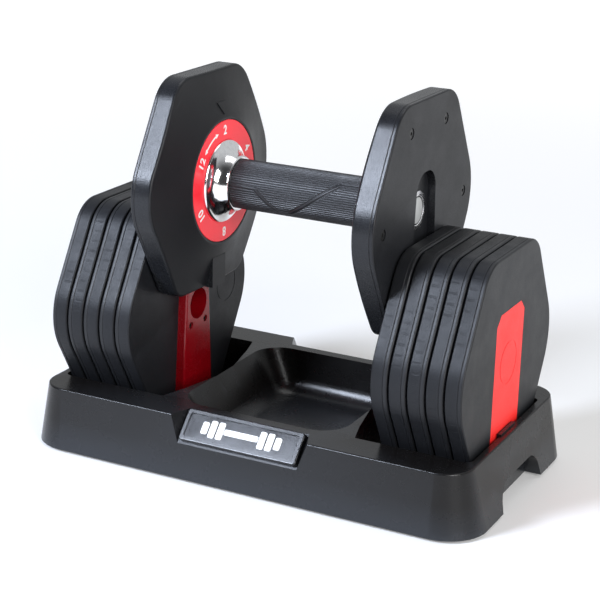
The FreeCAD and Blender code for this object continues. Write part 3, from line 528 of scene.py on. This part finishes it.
def arrow_object(side, materials):
    """Two-headed arrow bent around the dial."""
    head_turn = math.degrees(ARROW_HEAD / DIAL_MIDDLE)
    steps = 24
    outline = [(ARROW_START, 0.0)]
    low = ARROW_START + head_turn
    high = ARROW_END - head_turn
    outline.append((low, ARROW_HEAD / 2))
    outline += [(low + (high - low) * i / steps, ARROW_WIDTH / 2) for i in range(steps + 1)]
    outline += [(high, ARROW_HEAD / 2), (ARROW_END, 0.0), (high, -ARROW_HEAD / 2)]
    outline += [(high + (low - high) * i / steps, -ARROW_WIDTH / 2) for i in range(steps + 1)]
    outline.append((low, -ARROW_HEAD / 2))
    count = len(outline)
    verts = []
    for out in (MARK_HEIGHT, 0.0):
        verts += [on_dial(side, angle, DIAL_MIDDLE + off, out) for angle, off in outline]
    faces = [tuple(range(count)), tuple(reversed(range(count, 2 * count)))]
    faces += [(i, (i + 1) % count, (i + 1) % count + count, i + count) for i in range(count)]
    return outward(mesh_object("dial_arrow_%s" % side, verts, faces, materials["number_paint"], False))


def make_dial_marks(materials):
    for side in SIDES:
        for index, value in enumerate(NUMBERS):
            number = number_object(side, value, 90.0 - 60.0 * index, materials)
            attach(number, "grip")
        arrow = arrow_object(side, materials)
        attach(arrow, "grip")


# ---- pointer above each dial -----------------------------------------------------------------

POINTER_TIP = 48.0 * MM
POINTER_TOP = 56.5 * MM
POINTER_HALF = 5.2 * MM
POINTER_PROUD = 0.7 * MM


def surface_tree(node):
    mesh = frame["nodes"][node].data
    return BVHTree.FromPolygons([v.co for v in mesh.vertices], [p.vertices for p in mesh.polygons])


def make_pointers(materials):
    for side in SIDES:
        sign = 1 if side == "right" else -1
        tree = surface_tree("end_shell_%s" % side)
        steps = 8
        rows = []
        for i in range(steps + 1):
            share = i / steps
            height = POINTER_TIP + (POINTER_TOP - POINTER_TIP) * share
            half = max(POINTER_HALF * share, 0.25 * MM)
            rows.append([(half * (2 * j / steps - 1), height) for j in range(steps + 1)])
        top, under = [], []
        for row in rows:
            for y, z in row:
                start = Vector((sign * DIAL_X * 0.9, y, AXIS_Z + z))
                hit = tree.ray_cast(start, Vector((sign, 0, 0)))[0]
                top.append((hit.x - sign * POINTER_PROUD, y, AXIS_Z + z))
                under.append((hit.x + sign * 0.2 * MM, y, AXIS_Z + z))
        width = steps + 1
        count = len(top)
        faces = []
        for i in range(steps):
            for j in range(steps):
                a = i * width + j
                faces.append((a, a + 1, a + width + 1, a + width))
                faces.append((a + count, a + width + count, a + width + 1 + count, a + 1 + count))
        ring = [j for j in range(width)]
        ring += [i * width + steps for i in range(1, width)]
        ring += [steps * width + j for j in range(steps - 1, -1, -1)]
        ring += [i * width for i in range(steps - 1, 0, -1)]
        for a, b in zip(ring, ring[1:] + ring[:1]):
            faces.append((a, b, b + count, a + count))
        made = mesh_object("pointer_%s" % side, top + under, faces, materials["pointer_plastic"], False)
        outward(made)
        bevel = made.modifiers.new("bevel", "BEVEL")
        bevel.width = 0.25 * MM
        bevel.segments = 2
        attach(made, "handle")


# ---- camera, lights and floor ----------------------------------------------------------------


def look_from(location, forward, up):
    back = -Vector(forward).normalized()
    right = Vector(up).cross(back).normalized()
    true_up = back.cross(right)
    turn = Matrix((right, true_up, back)).transposed().to_4x4()
    return Matrix.Translation(Vector(location)) @ turn


def make_camera():
    data = bpy.data.cameras.new("camera")
    data.sensor_width = 36.0
    data.lens = 101.8
    data.clip_start = 0.05
    data.clip_end = 20.0
    camera = bpy.data.objects.new("camera", data)
    camera.matrix_world = look_from(
        (0.51005, -1.01924, 0.48613), (-0.42637, 0.84888, -0.31241), (-0.16432, 0.26695, 0.94960)
    )
    bpy.context.collection.objects.link(camera)
    bpy.context.scene.camera = camera


def area_light(name, location, target, width, height, power, color=(1.0, 1.0, 1.0)):
    data = bpy.data.lights.new(name, "AREA")
    data.shape = "RECTANGLE"
    data.size = width
    data.size_y = height
    data.energy = power
    data.color = color
    lamp = bpy.data.objects.new(name, data)
    back = (Vector(location) - Vector(target)).normalized()
    lamp.matrix_world = Matrix.Translation(Vector(location)) @ back.to_track_quat("Z", "Y").to_matrix().to_4x4()
    bpy.context.collection.objects.link(lamp)


DIM_FRONT = 0.05
BRIGHT_BACK = 0.60
GLOW_NEAR = 0.18
GLOW_FAR = 1.0
GLOW_START = 0.35  # metres from the middle of the floor
GLOW_END = 2.6


def make_world():
    """Surroundings that are bright towards +Y and dim towards -Y."""
    world = bpy.data.worlds.new("studio")
    bpy.context.scene.world = world
    world.use_nodes = True
    tree = world.node_tree
    direction = tree.nodes.new("ShaderNodeTexCoord").outputs["Generated"]
    axes = tree.nodes.new("ShaderNodeSeparateXYZ")
    ramp = tree.nodes.new("ShaderNodeMapRange")
    ramp.interpolation_type = "SMOOTHSTEP"
    for index, value in enumerate((-0.5, 0.6, DIM_FRONT, BRIGHT_BACK)):
        ramp.inputs[index + 1].default_value = value
    tree.links.new(direction, axes.inputs[0])
    tree.links.new(axes.outputs["Y"], ramp.inputs[0])
    background = tree.nodes["Background"]
    background.inputs["Color"].default_value = rgb(0.96, 0.98, 1.0)
    tree.links.new(ramp.outputs[0], background.inputs["Strength"])


def make_stage():
    half = 6.0
    corners = [(-half, -half, 0.0), (half, -half, 0.0), (half, half, 0.0), (-half, half, 0.0)]
    g = Graph("floor")
    tone = g.mix(g.noise(3.0, 2.0, 0.5), rgb(0.655, 0.65, 0.645), rgb(0.675, 0.67, 0.665))
    away = g.node("ShaderNodeVectorMath", operation="LENGTH")
    g.feed(away.inputs[0], g.place)
    glow = g.remap(away.outputs["Value"], GLOW_START, GLOW_END, GLOW_NEAR, GLOW_FAR)
    g.set(Base_Color=tone, Roughness=0.6, Emission_Color=rgb(1.0, 1.0, 1.0), Emission_Strength=glow)
    floor = mesh_object("floor", corners, [(0, 1, 2, 3)], g.material, False)
    floor.location.z = -0.0005
    make_world()
    bpy.context.scene.view_settings.view_transform = "Standard"
    middle = (0.0, 0.0, 0.12)
    area_light("key", (-0.77, -1.25, 1.12), middle, 0.4, 0.75, 55.0, (0.76, 0.84, 1.0))
    area_light("top", (0.1, 0.5, 1.8), middle, 1.2, 0.8, 6.0)
    area_light("side", (1.35, -0.95, 0.8), middle, 0.8, 0.9, 26.0)


materials = make_materials()
dress_frame(materials)
make_grip(materials)
make_bolt_ends(materials)
make_dial_marks(materials)
make_pointers(materials)
make_camera()
make_stage()

bpy.context.view_layer.update()
